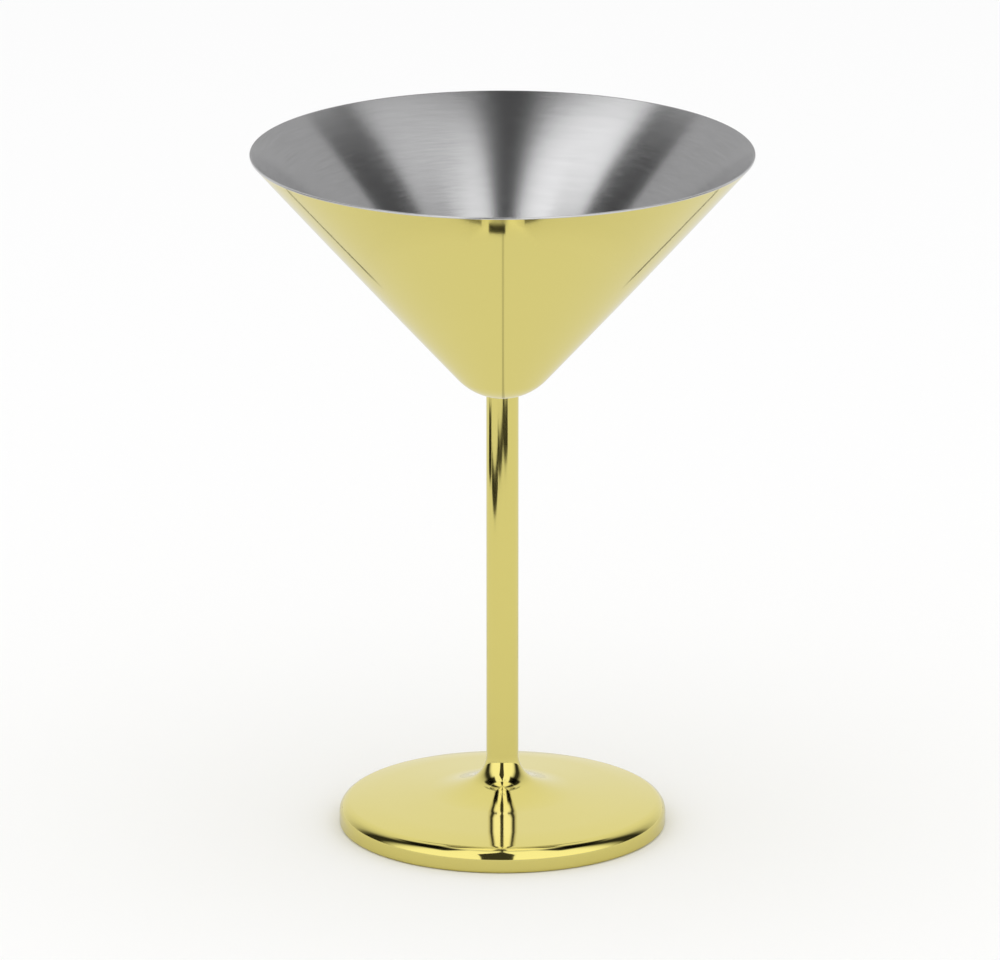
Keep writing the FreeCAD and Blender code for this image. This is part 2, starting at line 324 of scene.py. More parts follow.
@dataclass(frozen=True)
class PolishedFinish(Finish):
    """Mirror polish, with the faint rings that a polishing wheel leaves, and a pale colour painted in where
    the metal is seen mirrored, as painted reflection.

    Attributes:
        ring_pitch: Distance between rings, in mm.
        ring_depth: Their depth, in mm.
        patch_size: Width of the patches that wiping leaves, in mm.
        haze: Roughness that the haziest patch adds.
        tone_spread: Share by which the patches change the colour.
        painted_reflection_colour: Painted reflection: a pale colour that stands in for the gold wherever the
            metal is seen mirrored in the glass, which brightens its second reflections.
    """

    ring_pitch: float = 0.35
    ring_depth: float = 0.00006
    patch_size: float = 28.0
    haze: float = 0.02
    tone_spread: float = 0.015
    painted_reflection_colour: str = "#FBF8EA"

    def paint(self, graph: Graph) -> dict[str, Any]:
        """See Finish."""
        rings = self.turned_lines(graph, self.ring_pitch, 2.0, 2.0)
        patches = self.patches(graph, self.patch_size)
        haze = graph.add(
            "MapRange",
            {"Value": patches, "From Min": 0.3, "From Max": 0.7, "To Min": self.roughness,
             "To Max": self.roughness + self.haze},
        )
        bump = graph.add("Bump", {"Strength": 1.0, "Distance": self.ring_depth * MM, "Height": rings})
        # Painted reflection: rays that see the metal mirrored get a pale colour in place of the gold, which
        # brightens its second reflections.
        rays = graph.add("LightPath")
        ends = {"A": self.tinted(graph, patches, self.tone_spread), "B": linear(self.painted_reflection_colour)}
        colour = graph.add("Mix", {"Factor": rays.outputs["Is Glossy Ray"], **ends}, data_type="RGBA")
        return {
            "Base Color": colour.outputs["Result"],
            "Roughness": haze.outputs[0],
            "Normal": bump.outputs[0],
        }


@dataclass(frozen=True)
class BrushedFinish(Finish):
    """Lines brushed round the axis, which smear reflections across them.

    Attributes:
        line_pitch: Distance between the fine lines, in mm.
        waviness: How many times a fine line changes in strength on its way round.
        broad: How many times wider apart the broad lines are.
        broad_share: Share of the broad lines in the pattern.
        smear: How much further reflections spread across the lines than along them.
        contrast: Share by which the lines change the colour.
        rough_spread: How much the lines change the roughness.
    """

    line_pitch: float = 0.12
    waviness: float = 9.0
    broad: float = 9.0
    broad_share: float = 0.35
    smear: float = 0.85
    contrast: float = 0.16
    rough_spread: float = 0.06

    def paint(self, graph: Graph) -> dict[str, Any]:
        """See Finish."""
        fine = self.turned_lines(graph, self.line_pitch, self.waviness, 3.0)
        broad = self.turned_lines(graph, self.line_pitch * self.broad, self.waviness / 3, 2.0)
        fine_part = graph.math("MULTIPLY", fine, 1 - self.broad_share)
        lines = graph.math("MULTIPLY_ADD", broad, self.broad_share, fine_part)
        round_axis = graph.add("Tangent", direction_type="RADIAL", axis="Z")
        return {
            "Base Color": self.tinted(graph, lines, self.contrast),
            "Roughness": self.roughened(graph, fine, self.rough_spread),
            "Anisotropic": self.smear,
            "Anisotropic Rotation": 0.25,
            "Tangent": round_axis.outputs[0],
        }


@dataclass(frozen=True)
class MilledFinish(Finish):
    """Plain steel with the tool's marks, for pieces that don't show.

    Attributes:
        mark_pitch: Distance between the marks, in mm.
        contrast: Share by which the marks change the colour.
        rough_spread: How much the marks change the roughness.
    """

    mark_pitch: float = 0.25
    contrast: float = 0.12
    rough_spread: float = 0.1

    def paint(self, graph: Graph) -> dict[str, Any]:
        """See Finish."""
        marks = self.turned_lines(graph, self.mark_pitch, 1.0, 2.0)
        rough = self.roughened(graph, marks, self.rough_spread)
        return {"Base Color": self.tinted(graph, marks, self.contrast), "Roughness": rough}


# ---------------------------------------------------------------- outlines and turned meshes


@dataclass(frozen=True)
class Span:
    """A short straight piece of an outline, with the surface normal at both ends."""

    start: Point
    end: Point
    start_normal: Point
    end_normal: Point
    skin: Skin


@dataclass
class Outline:
    """Half a section through a turned piece, as (radius, height) in mm, drawn with the metal on its left."""

    at: Point
    skin: Skin = Skin.OUTER
    spans: list[Span] = field(default_factory=list)

    def line(self, end: Point, pieces: int = 1) -> Outline:
        """Draws a straight wall.

        Args:
            end: Where it ends.
            pieces: Spans it is divided into.

        Returns:
            The outline itself.
        """
        return self.bow(end, 0.0, pieces)

    def bow(self, end: Point, rise: float, pieces: int) -> Outline:
        """Draws a wall that bulges slightly to its right.

        Args:
            end: Where it ends.
            rise: How far its middle stands out from the straight line, in mm.
            pieces: Spans it is divided into.

        Returns:
            The outline itself.
        """
        (r0, z0), (r1, z1) = self.at, end
        length = math.hypot(r1 - r0, z1 - z0)
        along = ((r1 - r0) / length, (z1 - z0) / length)
        points, normals = [], []
        for i in range(pieces + 1):
            t = i / pieces
            out, tilt = 4 * rise * t * (1 - t), 4 * rise * (1 - 2 * t) / length
            points.append((r0 + (r1 - r0) * t + out * along[1], z0 + (z1 - z0) * t - out * along[0]))
            slope = (along[0] + tilt * along[1], along[1] - tilt * along[0])
            size = math.hypot(*slope)
            normals.append((slope[1] / size, -slope[0] / size))
        return self._join(points, normals)

    def arc(self, centre: Point, end_angle: float, pieces: int) -> Outline:
        """Draws a round from where the outline is, about a centre.

        Args:
            centre: The round's centre.
            end_angle: Where it ends, in degrees from the outward radius. It lies above the start for an
                outside round.
            pieces: Spans it is divided into.

        Returns:
            The outline itself.
        """
        dr, dz = self.at[0] - centre[0], self.at[1] - centre[1]
        radius, start = math.hypot(dr, dz), math.atan2(dz, dr)
        end = math.radians(end_angle)
        side = 1 if end > start else -1
        points, normals = [], []
        for i in range(pieces + 1):
            angle = start + (end - start) * i / pieces
            points.append((centre[0] + radius * math.cos(angle), centre[1] + radius * math.sin(angle)))
            normals.append((side * math.cos(angle), side * math.sin(angle)))
        return self._join(points, normals)

    def turn_to(self, skin: Skin) -> Outline:
        """Gives what is drawn next the other side's finish.

        Args:
            skin: The side that begins here.

        Returns:
            The outline itself.
        """
        self.skin = skin
        return self

    def _join(self, points: list[Point], normals: list[Point]) -> Outline:
        points[0] = self.at
        for i in range(len(points) - 1):
            self.spans.append(Span(points[i], points[i + 1], normals[i], normals[i + 1], self.skin))
        self.at = points[-1]
        return self


@dataclass
class TurnedMesh:
    """Sweeps an outline round the upright axis."""

    name: str
    outline: Outline
    steps: int = 256

    def make(self) -> bpy.types.Mesh:
        """Builds the closed mesh.

        Returns:
            The mesh, in metres, with one material place for each skin and exact normals.
        """
        spans = self.outline.spans
        turns = [2 * math.pi * k / self.steps for k in range(self.steps)]
        rings: dict[Point, list[int]] = {}
        vertices: list[tuple[float, float, float]] = []
        for span in spans:
            for point in (span.start, span.end):
                self._ring(point, turns, rings, vertices)
        faces: list[tuple[int, ...]] = []
        normals: list[tuple[float, float, float]] = []
        skins: list[int] = []
        for span in spans:
            low, high = rings[self._key(span.start)], rings[self._key(span.end)]
            for k in range(self.steps):
                m = (k + 1) % self.steps
                corners = [(low, k, span.start_normal), (low, m, span.start_normal),
                           (high, m, span.end_normal), (high, k, span.end_normal)]
                face, turned = [], []
                for ring, step, normal in corners:
                    vertex = ring[step % len(ring)]
                    if vertex in face:
                        continue
                    angle = turns[step]
                    face.append(vertex)
                    turned.append((normal[0] * math.cos(angle), normal[0] * math.sin(angle), normal[1]))
                faces.append(tuple(face))
                normals.extend(turned)
                skins.append(span.skin.value)
        mesh = bpy.data.meshes.new(self.name)
        mesh.from_pydata(vertices, [], faces)
        mesh.polygons.foreach_set("material_index", skins)
        mesh.polygons.foreach_set("use_smooth", [True] * len(faces))
        mesh.update()
        mesh.normals_split_custom_set(normals)
        return mesh

    @staticmethod
    def _key(point: Point) -> Point:
        return (round(point[0], 4), round(point[1], 4))

    def _ring(
        self, point: Point, turns: Sequence[float], rings: dict[Point, list[int]], vertices: list
    ) -> None:
        key = self._key(point)
        if key in rings:
            return
        first, (radius, height) = len(vertices), key
        angles = turns if radius > 0 else turns[:1]
        vertices.extend((radius * MM * math.cos(a), radius * MM * math.sin(a), height * MM) for a in angles)
        rings[key] = list(range(first, len(vertices)))


# ---------------------------------------------------------------- the glass


@dataclass
class TurnedPiece(ABC):
    """A visible piece of the glass that stands for one CAD node."""

    name: str
    node: CadNode
    slot: Slot
    materials: Sequence[bpy.types.Material]
    steps: int = 256

    @abstractmethod
    def outline(self) -> Outline:
        """Draws half the piece's section.

        Returns:
            The closed outline.
        """

    def build(self) -> bpy.types.Object:
        """Makes the piece and ties it to the frame.

        Returns:
            The new object.
        """
        mesh = TurnedMesh(self.name, self.outline(), self.steps).make()
        for material in self.materials:
            mesh.materials.append(material)
        piece = bpy.data.objects.new(self.name, mesh)
        bpy.context.scene.collection.objects.link(piece)
        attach(piece, "root")
        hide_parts(self.node.value)
        log.info("%s: %d faces, stands for %s", self.name, len(mesh.polygons), self.node.value)
        return piece


@dataclass
class Bowl(TurnedPiece):
    """The bowl: one sheet drawn to a cone over a round nose, with a flat seat below and a rounded lip."""

    sheet: float = 0.8
    seat_height: float = 103.0
    seat_radius: float = 3.95
    nose_centre: float = 116.535
    nose_end: Point = (10.539, 107.168)
    lip: Point = (57.4, 159.888)
    lip_height: float = 160.0
    wall_bow: float = 0.17
    lip_round: float = 0.25

    def outline(self) -> Outline:
        """See TurnedPiece."""
        rise, run = self.lip[1] - self.nose_end[1], self.lip[0] - self.nose_end[0]
        lean = math.atan2(run, rise)
        down = -math.degrees(lean)
        outer_centre = (self._inside(self.lip, lean, self.lip_round)[0], self.lip_height - self.lip_round)
        outer_start = (
            outer_centre[0] + self.lip_round * math.cos(lean),
            outer_centre[1] - self.lip_round * math.sin(lean),
        )
        inner_lip = self._inside(self.lip, lean, self.sheet)
        inner_centre = (inner_lip[0] + self.lip_round / math.cos(lean), self.lip_height - self.lip_round)
        inner_angle = 180 + down
        inner_nose = self._inside(self.nose_end, lean, self.sheet)
        floor_height = self.seat_height + self.sheet
        floor_radius = self._floor_radius(floor_height)
        drawn = Outline((0.0, self.seat_height))
        drawn.line((self.seat_radius, self.seat_height), 2)
        drawn.arc((0.0, self.nose_centre), down, 20)
        drawn.bow(outer_start, self.wall_bow, 32)
        drawn.turn_to(Skin.INNER)
        drawn.arc(outer_centre, 90.0, 8)
        drawn.line((inner_centre[0], self.lip_height))
        drawn.arc(inner_centre, inner_angle, 6)
        drawn.bow(inner_nose, -self.wall_bow, 32)
        drawn.arc((0.0, self.nose_centre), self._angle((floor_radius, floor_height)), 16)
        drawn.line((0.0, floor_height))
        return drawn

    def _floor_radius(self, height: float) -> float:
        radius = math.hypot(self.nose_end[0], self.nose_end[1] - self.nose_centre) - self.sheet
        return math.sqrt(radius**2 - (self.nose_centre - height) ** 2)

    def _angle(self, point: Point) -> float:
        return math.degrees(math.atan2(point[1] - self.nose_centre, point[0]))

    @staticmethod
    def _inside(point: Point, lean: float, depth: float) -> Point:
        return (point[0] - depth * math.cos(lean), point[1] + depth * math.sin(lean))


@dataclass
class Stem(TurnedPiece):
    """The straight tube from the foot's neck to the bowl's seat."""

    diameter: float = 7.4
    wall: float = 0.7
    bottom: float = 20.0
    top: float = 103.0

    def outline(self) -> Outline:
        """See TurnedPiece."""
        outer = self.diameter / 2
        inner = outer - self.wall
        drawn = Outline((inner, self.bottom))
        drawn.line((outer, self.bottom))
        drawn.line((outer, self.top), 8)
        drawn.turn_to(Skin.INNER)
        drawn.line((inner, self.top))
        drawn.line((inner, self.bottom), 4)
        return drawn


@dataclass
class FootShell(TurnedPiece):
    """The pressed foot: neck, flare, shallow dish, slope, crown, round edge, and a rim turned in below."""

    sheet: float = 0.7
    neck_radius: float = 3.7
    neck_height: float = 20.0
    flare_centre: Point = (10.9, 16.7)
    dish_radius: float = 30.0
    slope_at_neck: float = 8.95
    slope_at_side: float = 6.0
    crown_radius: float = 70.0
    edge_centre: Point = (34.65, 2.85)
    edge_radius: float = 3.05
    hem_inside: float = 33.5
    hem_corner: float = 0.8

    def outline(self) -> Outline:
        """See TurnedPiece."""
        outside = self.edge_centre[0] + self.edge_radius
        inside = outside - self.sheet
        slope = math.atan2(self.slope_at_neck - self.slope_at_side, outside - self.neck_radius)
        flare_radius = self.flare_centre[0] - self.neck_radius
        dish_centre = self._bend_centre(slope, self.flare_centre, flare_radius, self.dish_radius)
        crown_centre = self._bend_centre(slope, self.edge_centre, -self.edge_radius, -self.crown_radius)
        flat, steep = 90 - math.degrees(slope), self._angle(dish_centre, self.flare_centre)
        fall = self._angle(crown_centre, self.edge_centre)
        hem_centre = (outside - self.hem_corner, self.hem_corner)
        drawn = Outline((self.hem_inside, 0.0))
        drawn.line((hem_centre[0], 0.0))
        drawn.arc(hem_centre, 0.0, 8)
        drawn.line((outside, self.edge_centre[1]))
        drawn.arc(self.edge_centre, fall, 28)
        drawn.arc(crown_centre, flat, 12)
        drawn.line(self._on(dish_centre, self.dish_radius, flat - 180), 6)
        drawn.arc(dish_centre, steep, 20)
        drawn.arc(self.flare_centre, -180.0, 32)
        drawn.line((self.neck_radius, self.neck_height), 2)
        drawn.turn_to(Skin.INNER)
        drawn.line((self.neck_radius - self.sheet, self.neck_height))
        drawn.line((self.neck_radius - self.sheet, self.flare_centre[1]))
        drawn.arc(self.flare_centre, steep + 360, 16)
        drawn.arc(dish_centre, flat - 180, 10)
        drawn.line(self._on(crown_centre, self.crown_radius - self.sheet, flat), 6)
        drawn.arc(crown_centre, fall, 6)
        drawn.arc(self.edge_centre, 0.0, 12)
        drawn.line((inside, self.sheet))
        drawn.line((self.hem_inside, self.sheet))
        drawn.line((self.hem_inside, 0.0))
        return drawn

    def _bend_centre(self, slope: float, end_centre: Point, end_radius: float, radius: float) -> Point:
        """Finds the centre of a bend that touches both the straight slope and the round beyond it.

        Args:
            slope: Angle of the straight slope, in radians.
            end_centre: Centre of the round.
            end_radius: Radius of the round, below 0 for an outside round.
            radius: Radius of the bend, with the same sign.

        Returns:
            The centre.
        """
        across, up = end_centre[0] - self.neck_radius, end_centre[1] - self.slope_at_neck
        along = across * math.cos(slope) - up * math.sin(slope)
        above = across * math.sin(slope) + up * math.cos(slope)
        reach = math.sqrt((radius - end_radius) ** 2 - (radius - above) ** 2)
        along += reach if radius > 0 else -reach
        return (
            self.neck_radius + along * math.cos(slope) + radius * math.sin(slope),
            self.slope_at_neck - along * math.sin(slope) + radius * math.cos(slope),
        )

    @staticmethod
    def _on(centre: Point, radius: float, angle: float) -> Point:
        turn = math.radians(angle)
        return (centre[0] + radius * math.cos(turn), centre[1] + radius * math.sin(turn))

    @staticmethod
    def _angle(centre: Point, point: Point) -> float:
        return math.degrees(math.atan2(point[1] - centre[1], point[0] - centre[0]))


@dataclass
class BasePlate(TurnedPiece):
    """The disc that closes the hollow foot from below."""

    radius: float = 36.5
    bottom: float = 0.7
    sheet: float = 0.6

    def outline(self) -> Outline:
        """See TurnedPiece."""
        top = self.bottom + self.sheet
        drawn = Outline((0.0, self.bottom))
        drawn.line((self.radius, self.bottom), 4)
        drawn.line((self.radius, top))
        drawn.turn_to(Skin.INNER)
        drawn.line((0.0, top), 4)
        return drawn


@dataclass
class MartiniGlass:
    """The whole glass."""

    gold: Finish
    brushed: Finish
    plain: Finish
    hidden: Sequence[CadNode] = (CadNode.BOWL_STUD, CadNode.FOOT_SPIGOT)

    def build(self, nodes: dict[str, bpy.types.Object]) -> list[bpy.types.Object]:
        """Makes every visible piece and finishes the hidden ones.

        Args:
            nodes: The frame's CAD nodes by name.

        Returns:
            The new pieces.
        """
        gold, brushed, plain = (finish.material() for finish in (self.gold, self.brushed, self.plain))
        pieces: list[TurnedPiece] = [
            Bowl("bowl_sheet", CadNode.BOWL, Slot.GOLD, (gold, brushed), steps=384),
            Stem("stem_pipe", CadNode.STEM_TUBE, Slot.GOLD, (gold, plain), steps=192),
            FootShell("foot_pressing", CadNode.FOOT_SHELL, Slot.GOLD, (gold, plain)),
            BasePlate("foot_closing_disc", CadNode.BASE_PLATE, Slot.GOLD, (gold, plain)),
        ]
        for node in self.hidden:
            inner = nodes[node.value]
            inner.data.materials.clear()
            inner.data.materials.append(plain)
            log.info("%s: keeps its own mesh", node.value)
        return [piece.build() for piece in pieces]


# ---------------------------------------------------------------- the studio


def stand_in_studio(
    name: str, mesh: bpy.types.Mesh, centre: Sequence[float], turn: Sequence[float], seen: Seen
) -> bpy.types.Object:
    """Puts a mesh into the studio, as something that isn't part of the glass.

    Args:
        name: The new object's name.
        mesh: Its mesh.
        centre: Where its own origin goes, in metres.
        turn: Its rotation, in degrees.
        seen: The rays that meet it.

    Returns:
        The new object.
    """
    piece = bpy.data.objects.new(name, mesh)
    piece.location = centre
    piece.rotation_euler = [math.radians(a) for a in turn]
    if seen is Seen.IN_REFLECTIONS:
        piece.visible_camera = piece.visible_diffuse = piece.visible_shadow = False
        piece.visible_transmission = piece.visible_volume_scatter = False
    bpy.context.scene.collection.objects.link(piece)
    log.info("studio: %s", name)
    return piece


@dataclass(frozen=True)
class Card:
    """A flat rectangle of the studio, by its centre, its size and the way it faces, in metres."""

    name: str
    centre: tuple[float, float, float]
    size: tuple[float, float]
    turn: tuple[float, float, float]
    seen: Seen = Seen.BY_ALL

    def build(self, material: bpy.types.Material) -> bpy.types.Object:
        """Makes the card.

        Args:
            material: Its surface.

        Returns:
            The new object, which isn't part of the glass.
        """
        half_x, half_y = self.size[0] / 2, self.size[1] / 2
        corners = [(-half_x, -half_y, 0), (half_x, -half_y, 0), (half_x, half_y, 0), (-half_x, half_y, 0)]
        mesh = bpy.data.meshes.new(self.name)
        mesh.from_pydata(corners, [], [(0, 1, 2, 3)])
        mesh.materials.append(material)
        return stand_in_studio(self.name, mesh, self.centre, self.turn, self.seen)


@dataclass(frozen=True)
class GlowCard(Card):
    """A flat card with its own even glow, which is no lamp; seen only in reflections, as the studio's cards
    are, it is a painted highlight.

    Attributes:
        level: Brightness of the glow, where 1 is white.
        unevenness: Share by which the cloth over it changes the glow.
    """

    level: float = 1.0
    unevenness: float = 0.02

    def material(self) -> bpy.types.Material:
        """Makes its surface.

        Returns:
            The material.
        """
        made, graph = new_material(self.name)
        place = graph.add("TexCoord").outputs["Object"]
        cloth = graph.add("TexNoise", {"Vector": place, "Scale": CLOTH_SCALE})
        ends = {"To Min": self.level * (1 - self.unevenness), "To Max": self.level * (1 + self.unevenness)}
        factor = graph.add("MapRange", {"Value": cloth.outputs[0], **ends}).outputs[0]
        shader = graph.add("Emission", {"Color": WHITE, "Strength": factor})
        graph.add("OutputMaterial", {"Surface": shader.outputs[0]})
        return made


@dataclass(frozen=True)
class PaintedFloorReflection:
    """A painted reflection: a glowing ring under the bowl, in metres, which only the cone above sees, standing
    in for the floor with the foot left out. It is no lamp and lights nothing.

    Attributes:
        name: The object's name.
        height: Its height over the floor, just under the bowl's seat.
        inside: Radius of its hole, which clears the stem.
        outside: Its outer radius, where it has faded out.
        soft_from: Radius from which it fades.
        level: Its brightness.
        line_at: X of the thin dark line painted on its front half, a painted mark in the cone's reflection.
        line_half: Half the line's width.
        line_soft: Share of that half over which the line's edge fades, to both sides.
        line_level: Brightness left in the line.
        line_end: Length over which the line ends before the axis.
        steps: Sides of the ring.
    """

    name: str = "painted_floor_reflection_ring"
    height: float = 0.1028
    inside: float = 0.0042
    outside: float = 0.054
    soft_from: float = 0.044
    level: float = 0.80
    line_at: float = 0.0002
    line_half: float = 0.00035
    line_soft: float = 0.3
    line_level: float = 0.68
    line_end: float = 0.001
    steps: int = 96

    def build(self) -> bpy.types.Object:
        """Makes the ring.

        Returns:
            The new object, which isn't part of the glass.
        """
        turns = [2 * math.pi * k / self.steps for k in range(self.steps)]
        rings = [(r * math.cos(a), r * math.sin(a), 0.0) for r in (self.inside, self.outside) for a in turns]
        faces = []
        for k in range(self.steps):
            m = (k + 1) % self.steps
            faces.append((k, self.steps + k, self.steps + m, m))
        mesh = bpy.data.meshes.new(self.name)
        mesh.from_pydata(rings, [], faces)
        mesh.materials.append(self._material())
        return stand_in_studio(self.name, mesh, (0.0, 0.0, self.height), (0, 0, 0), Seen.IN_REFLECTIONS)

    def _material(self) -> bpy.types.Material:
        made, graph = new_material(self.name)
        place = graph.add("TexCoord").outputs["Object"]
        at = graph.add("SeparateXYZ", {"Vector": place})
        radius = graph.add("VectorMath", {0: place}, operation="LENGTH").outputs["Value"]
        edge = graph.between(radius, self.soft_from, self.outside, 0.0, 1.0)
        off = graph.math("ABSOLUTE", graph.math("SUBTRACT", at.outputs["X"], self.line_at))
        narrow, wide = self.line_half * (1 - self.line_soft), self.line_half * (1 + self.line_soft)
        clear = graph.between(off, narrow, wide, self.line_level, 1.0)
        behind = graph.between(at.outputs["Y"], -self.line_end, 0.0, 0.0, 1.0)
        # Painted reflection: the ring's glow stands in for the floor seen in the cone, dimmed along a thin
        # painted line.
        level = graph.math("MULTIPLY", graph.math("MAXIMUM", clear, behind), self.level)
        glow = graph.add("Emission", {"Color": WHITE, "Strength": level})
        through = graph.add("BsdfTransparent")
        under = graph.add("NewGeometry").outputs["Backfacing"]
        open_part = graph.math("MAXIMUM", edge, under)
        mixed = graph.add("MixShader", {0: open_part, 1: glow.outputs[0], 2: through.outputs[0]})
        graph.add("OutputMaterial", {"Surface": mixed.outputs[0]})
        return made


@dataclass
class Dome:
    """The light all round: plain white, but with panels and the gaps between them in what the metal reflects.

    Bearings are in degrees from the viewer's side, heights in degrees over the floor.

    Attributes:
        level: Brightness of the panels.
        side_table: Share of it by bearing.
        lean_table: How far up the gaps at the sides lean towards the viewer, by height.
        lean: The most they lean, in degrees.
        sky: Brightness overhead.
        fade_from: Height where the panels begin to give way to it.
        fade_to: Height where they have.
        cap_table: Light left high up at the sides, by bearing.
        cap_from: Height where this begins.
        cap_to: Height where it is full.
        gap_table: Width of the gap at the viewer's side, as a share of gap_half, by height.
        gap_centre: X of the gap's middle, as a direction.
        gap_half: Half its width, as a direction.
        gap_edge: Share of that half over which its edge fades, to both sides.
        gap_level: Light left in it.
        gap_back: Direction on Y over which the gap ends past the axis.
    """

    sky: float = 0.84
    level: float = 1.2
    side_table: Sequence[Point] = (
        (0, 0.98), (66, 0.96), (78, 0.80), (88, 0.30), (94, 0.03), (108, 0.02), (114, 0.12), (124, 0.45),
        (138, 0.62), (155, 0.70), (180, 0.73), (220, 0.73),
    )
    lean_table: Sequence[Point] = ((-90, 0.0), (8, 0.0), (24, 0.2), (40, 0.6), (54, 1.0), (90, 1.0))
    lean: float = 22.0
    fade_from: float = 66.0
    fade_to: float = 74.0
    cap_table: Sequence[Point] = ((0, 1.0), (46, 1.0), (54, 0.04), (110, 0.04), (118, 1.0), (180, 1.0))
    cap_from: float = 42.0
    cap_to: float = 52.0
    gap_table: Sequence[Point] = ((-90, 1.0), (44, 1.0), (54, 0.55), (62, 0.2), (68, 0.07), (90, 0.03))
    gap_centre: float = -0.062
    gap_half: float = 0.19
    gap_edge: float = 0.05
    gap_level: float = 0.04
    gap_back: float = 0.05

    def build(self) -> None:
        """Makes the world's shader."""
        world = bpy.data.worlds.new("studio_light")
        world.use_nodes = True
        world.node_tree.nodes.clear()
        bpy.context.scene.world = world
        graph = Graph(world.node_tree)
        way = graph.add("SeparateXYZ", {"Vector": graph.add("TexCoord").outputs["Generated"]})
        x, y, z = (way.outputs[axis] for axis in "XYZ")
        height = graph.math("DEGREES", graph.math("ARCSINE", z))
        forward = graph.math("MULTIPLY", y, -1.0)
        bearing = graph.math("ABSOLUTE", graph.math("DEGREES", graph.math("ARCTAN2", x, forward)))
        lean = graph.math("MULTIPLY", graph.table(height, (-90, 90), self.lean_table), self.lean)
        panels = graph.table(graph.math("ADD", bearing, lean), (0, 220), self.side_table)
        high = graph.between(height, self.cap_from, self.cap_to, 0.0, 1.0)
        cap = graph.table(bearing, (0, 180), self.cap_table)
        capped = graph.add("Mix", {"Factor": high, "A": 1.0, "B": cap}, data_type="FLOAT").outputs[0]
        bright = graph.math("MULTIPLY", graph.math("MULTIPLY", panels, capped), self.level)
        overhead = graph.between(height, self.fade_from, self.fade_to, 0.0, 1.0)
        mixed = graph.add("Mix", {"Factor": overhead, "A": bright, "B": self.sky}, data_type="FLOAT")
        gap = graph.table(height, (-90, 90), self.gap_table)
        off = graph.math("ABSOLUTE", graph.math("SUBTRACT", x, graph.math("MULTIPLY", gap, self.gap_centre)))
        reach = graph.math("DIVIDE", off, graph.math("MULTIPLY", gap, self.gap_half))
        clear = graph.between(reach, 1 - self.gap_edge, 1 + self.gap_edge, self.gap_level, 1.0)
        behind = graph.between(y, 0.0, self.gap_back, 0.0, 1.0)
        light = graph.math("MULTIPLY", mixed.outputs[0], graph.math("MAXIMUM", clear, behind))
        rays = graph.add("LightPath")
        ends = {"A": 1.0, "B": light}
        reflected = graph.add("Mix", {"Factor": rays.outputs["Is Glossy Ray"], **ends}, data_type="FLOAT")
        background = graph.add("Background", {"Color": reflected.outputs[0], "Strength": 1.0})
        graph.add("OutputWorld", {"Surface": background.outputs[0]})
        log.info("studio: light all round")


